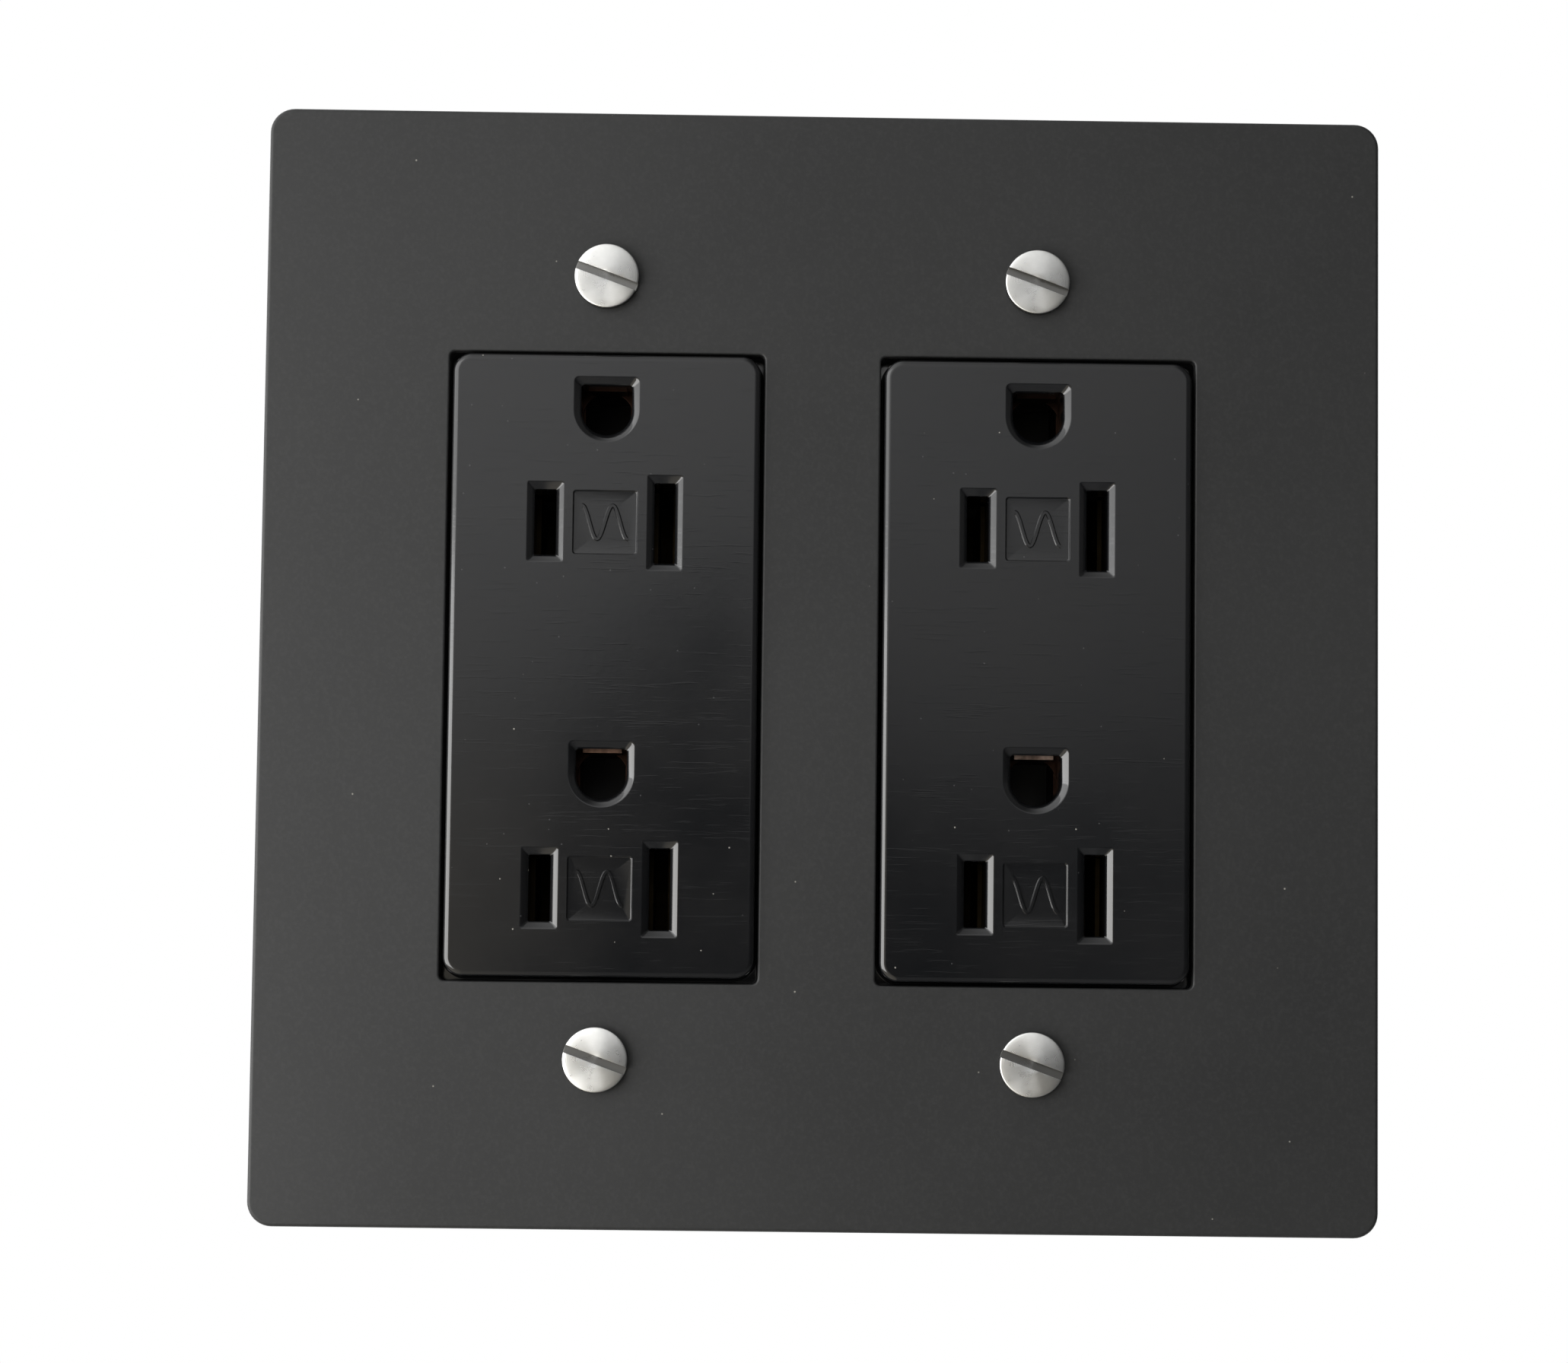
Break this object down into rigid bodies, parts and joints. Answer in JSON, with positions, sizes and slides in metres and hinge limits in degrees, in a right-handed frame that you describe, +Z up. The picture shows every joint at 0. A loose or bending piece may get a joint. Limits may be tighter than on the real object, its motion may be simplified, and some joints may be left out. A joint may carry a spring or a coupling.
{
  "type": "two-gang duplex wall outlet",
  "caption": "Square matt grey two-gang wall plate over two black duplex receptacles with three-hole sockets, fixed to a wall box by slotted steel screws.",
  "frame": {"origin": "centre of the four box screws on the wall plane, under the plate's rear rim", "axes": "+X to the right seen from the front, +Y into the wall along the box screws, +Z up; the front faces -Y"},
  "size_m": [0.119, 0.0331, 0.119],
  "materials": {
    "plate_paint": "matt dark grey powder coat",
    "face_plastic": "glossy black moulding",
    "body_plastic": "satin black moulding",
    "strap_zinc": "zinc-plated steel strip",
    "contact_brass": "pressed brass strip",
    "ground_copper": "pressed copper-alloy strip",
    "box_screw_steel": "lathe-turned steel head",
    "screw_zinc": "zinc-plated steel",
    "clamp_zinc": "zinc-plated steel",
    "hot_screw_brass": "brass-plated head",
    "neutral_screw_silver": "nickel-plated head",
    "ground_screw_green": "green lacquer on steel"
  },
  "bodies": {
    "receptacles": {"left_face_cover": "face_plastic", "left_rear_body": "body_plastic", "left_mounting_strap": "strap_zinc", "left_hot_contact_strip": "contact_brass", "left_neutral_contact_strip": "contact_brass", "left_ground_contact_strip": "ground_copper", "left_ground_rivets": "contact_brass", "left_assembly_screws": "screw_zinc", "right_face_cover": "face_plastic", "right_rear_body": "body_plastic", "right_mounting_strap": "strap_zinc", "right_hot_contact_strip": "contact_brass", "right_neutral_contact_strip": "contact_brass", "right_ground_contact_strip": "ground_copper", "right_ground_rivets": "contact_brass", "right_assembly_screws": "screw_zinc"},
    "plate": {"wall_plate": "plate_paint"},
    "box_screw_upper_left": {"box_screw_upper_left": "box_screw_steel"},
    "box_screw_upper_right": {"box_screw_upper_right": "box_screw_steel"},
    "box_screw_lower_left": {"box_screw_lower_left": "box_screw_steel"},
    "box_screw_lower_right": {"box_screw_lower_right": "box_screw_steel"},
    "left_hot_clamp_upper": {"left_hot_clamp_upper": "clamp_zinc"},
    "left_hot_screw_upper": {"left_hot_screw_upper": "hot_screw_brass"},
    "left_hot_clamp_lower": {"left_hot_clamp_lower": "clamp_zinc"},
    "left_hot_screw_lower": {"left_hot_screw_lower": "hot_screw_brass"},
    "left_neutral_clamp_upper": {"left_neutral_clamp_upper": "clamp_zinc"},
    "left_neutral_screw_upper": {"left_neutral_screw_upper": "neutral_screw_silver"},
    "left_neutral_clamp_lower": {"left_neutral_clamp_lower": "clamp_zinc"},
    "left_neutral_screw_lower": {"left_neutral_screw_lower": "neutral_screw_silver"},
    "left_ground_clamp": {"left_ground_clamp": "clamp_zinc"},
    "left_ground_screw": {"left_ground_screw": "ground_screw_green"},
    "right_hot_clamp_upper": {"right_hot_clamp_upper": "clamp_zinc"},
    "right_hot_screw_upper": {"right_hot_screw_upper": "hot_screw_brass"},
    "right_hot_clamp_lower": {"right_hot_clamp_lower": "clamp_zinc"},
    "right_hot_screw_lower": {"right_hot_screw_lower": "hot_screw_brass"},
    "right_neutral_clamp_upper": {"right_neutral_clamp_upper": "clamp_zinc"},
    "right_neutral_screw_upper": {"right_neutral_screw_upper": "neutral_screw_silver"},
    "right_neutral_clamp_lower": {"right_neutral_clamp_lower": "clamp_zinc"},
    "right_neutral_screw_lower": {"right_neutral_screw_lower": "neutral_screw_silver"},
    "right_ground_clamp": {"right_ground_clamp": "clamp_zinc"},
    "right_ground_screw": {"right_ground_screw": "ground_screw_green"}
  },
  "joints": [
    {"name": "wall_plate_travel", "type": "slide", "parent": "receptacles", "child": "plate", "axis": [0, -1, 0], "range_m": [0, 0.02203]},
    {"name": "box_screw_upper_left_turn", "type": "hinge", "parent": "plate", "child": "box_screw_upper_left", "pos_m": [-0.02302, -0.006, 0.04167], "axis": [0, -1, 0], "range_deg": [0, 9990]},
    {"name": "box_screw_upper_right_turn", "type": "hinge", "parent": "plate", "child": "box_screw_upper_right", "pos_m": [0.02302, -0.006, 0.04167], "axis": [0, -1, 0], "range_deg": [0, 9990]},
    {"name": "box_screw_lower_left_turn", "type": "hinge", "parent": "plate", "child": "box_screw_lower_left", "pos_m": [-0.02302, -0.006, -0.04167], "axis": [0, -1, 0], "range_deg": [0, 9990]},
    {"name": "box_screw_lower_right_turn", "type": "hinge", "parent": "plate", "child": "box_screw_lower_right", "pos_m": [0.02302, -0.006, -0.04167], "axis": [0, -1, 0], "range_deg": [0, 9990]},
    {"name": "left_hot_clamp_upper_travel", "type": "slide", "parent": "receptacles", "child": "left_hot_clamp_upper", "axis": [-1, 0, 0], "range_m": [0, 0.00337]},
    {"name": "left_hot_screw_upper_turn", "type": "hinge", "parent": "left_hot_clamp_upper", "child": "left_hot_screw_upper", "pos_m": [-0.03422, 0.009, 0.00577], "axis": [-1, 0, 0], "range_deg": [0, 1530]},
    {"name": "left_hot_clamp_lower_travel", "type": "slide", "parent": "receptacles", "child": "left_hot_clamp_lower", "axis": [-1, 0, 0], "range_m": [0, 0.00337]},
    {"name": "left_hot_screw_lower_turn", "type": "hinge", "parent": "left_hot_clamp_lower", "child": "left_hot_screw_lower", "pos_m": [-0.03422, 0.009, -0.01423], "axis": [-1, 0, 0], "range_deg": [0, 1530]},
    {"name": "left_neutral_clamp_upper_travel", "type": "slide", "parent": "receptacles", "child": "left_neutral_clamp_upper", "axis": [1, 0, 0], "range_m": [0, 0.00337]},
    {"name": "left_neutral_screw_upper_turn", "type": "hinge", "parent": "left_neutral_clamp_upper", "child": "left_neutral_screw_upper", "pos_m": [-0.01142, 0.009, 0.00577], "axis": [1, 0, 0], "range_deg": [0, 1530]},
    {"name": "left_neutral_clamp_lower_travel", "type": "slide", "parent": "receptacles", "child": "left_neutral_clamp_lower", "axis": [1, 0, 0], "range_m": [0, 0.00337]},
    {"name": "left_neutral_screw_lower_turn", "type": "hinge", "parent": "left_neutral_clamp_lower", "child": "left_neutral_screw_lower", "pos_m": [-0.01142, 0.009, -0.01423], "axis": [1, 0, 0], "range_deg": [0, 1530]},
    {"name": "left_ground_clamp_travel", "type": "slide", "parent": "receptacles", "child": "left_ground_clamp", "axis": [1, 0, 0], "range_m": [0, 0.00337]},
    {"name": "left_ground_screw_turn", "type": "hinge", "parent": "left_ground_clamp", "child": "left_ground_screw", "pos_m": [-0.01162, 0.0052, 0.03742], "axis": [1, 0, 0], "range_deg": [0, 1530]},
    {"name": "right_hot_clamp_upper_travel", "type": "slide", "parent": "receptacles", "child": "right_hot_clamp_upper", "axis": [-1, 0, 0], "range_m": [0, 0.00337]},
    {"name": "right_hot_screw_upper_turn", "type": "hinge", "parent": "right_hot_clamp_upper", "child": "right_hot_screw_upper", "pos_m": [0.01182, 0.009, 0.00565], "axis": [-1, 0, 0], "range_deg": [0, 1530]},
    {"name": "right_hot_clamp_lower_travel", "type": "slide", "parent": "receptacles", "child": "right_hot_clamp_lower", "axis": [-1, 0, 0], "range_m": [0, 0.00337]},
    {"name": "right_hot_screw_lower_turn", "type": "hinge", "parent": "right_hot_clamp_lower", "child": "right_hot_screw_lower", "pos_m": [0.01182, 0.009, -0.01435], "axis": [-1, 0, 0], "range_deg": [0, 1530]},
    {"name": "right_neutral_clamp_upper_travel", "type": "slide", "parent": "receptacles", "child": "right_neutral_clamp_upper", "axis": [1, 0, 0], "range_m": [0, 0.00337]},
    {"name": "right_neutral_screw_upper_turn", "type": "hinge", "parent": "right_neutral_clamp_upper", "child": "right_neutral_screw_upper", "pos_m": [0.03462, 0.009, 0.00565], "axis": [1, 0, 0], "range_deg": [0, 1530]},
    {"name": "right_neutral_clamp_lower_travel", "type": "slide", "parent": "receptacles", "child": "right_neutral_clamp_lower", "axis": [1, 0, 0], "range_m": [0, 0.00337]},
    {"name": "right_neutral_screw_lower_turn", "type": "hinge", "parent": "right_neutral_clamp_lower", "child": "right_neutral_screw_lower", "pos_m": [0.03462, 0.009, -0.01435], "axis": [1, 0, 0], "range_deg": [0, 1530]},
    {"name": "right_ground_clamp_travel", "type": "slide", "parent": "receptacles", "child": "right_ground_clamp", "axis": [1, 0, 0], "range_m": [0, 0.00337]},
    {"name": "right_ground_screw_turn", "type": "hinge", "parent": "right_ground_clamp", "child": "right_ground_screw", "pos_m": [0.03442, 0.0052, 0.0373], "axis": [1, 0, 0], "range_deg": [0, 1530]}
  ],
  "couplings": [
    {"joint": "box_screw_upper_left_turn", "follows": "wall_plate_travel", "rad_per_m": 7915.8},
    {"joint": "box_screw_upper_right_turn", "follows": "wall_plate_travel", "rad_per_m": 7915.8},
    {"joint": "box_screw_lower_left_turn", "follows": "wall_plate_travel", "rad_per_m": 7915.8},
    {"joint": "box_screw_lower_right_turn", "follows": "wall_plate_travel", "rad_per_m": 7915.8},
    {"joint": "left_hot_screw_upper_turn", "follows": "left_hot_clamp_upper_travel", "rad_per_m": 7915.8},
    {"joint": "left_hot_screw_lower_turn", "follows": "left_hot_clamp_lower_travel", "rad_per_m": 7915.8},
    {"joint": "left_neutral_screw_upper_turn", "follows": "left_neutral_clamp_upper_travel", "rad_per_m": 7915.8},
    {"joint": "left_neutral_screw_lower_turn", "follows": "left_neutral_clamp_lower_travel", "rad_per_m": 7915.8},
    {"joint": "left_ground_screw_turn", "follows": "left_ground_clamp_travel", "rad_per_m": 7915.8},
    {"joint": "right_hot_screw_upper_turn", "follows": "right_hot_clamp_upper_travel", "rad_per_m": 7915.8},
    {"joint": "right_hot_screw_lower_turn", "follows": "right_hot_clamp_lower_travel", "rad_per_m": 7915.8},
    {"joint": "right_neutral_screw_upper_turn", "follows": "right_neutral_clamp_upper_travel", "rad_per_m": 7915.8},
    {"joint": "right_neutral_screw_lower_turn", "follows": "right_neutral_clamp_lower_travel", "rad_per_m": 7915.8},
    {"joint": "right_ground_screw_turn", "follows": "right_ground_clamp_travel", "rad_per_m": 7915.8}
  ]
}
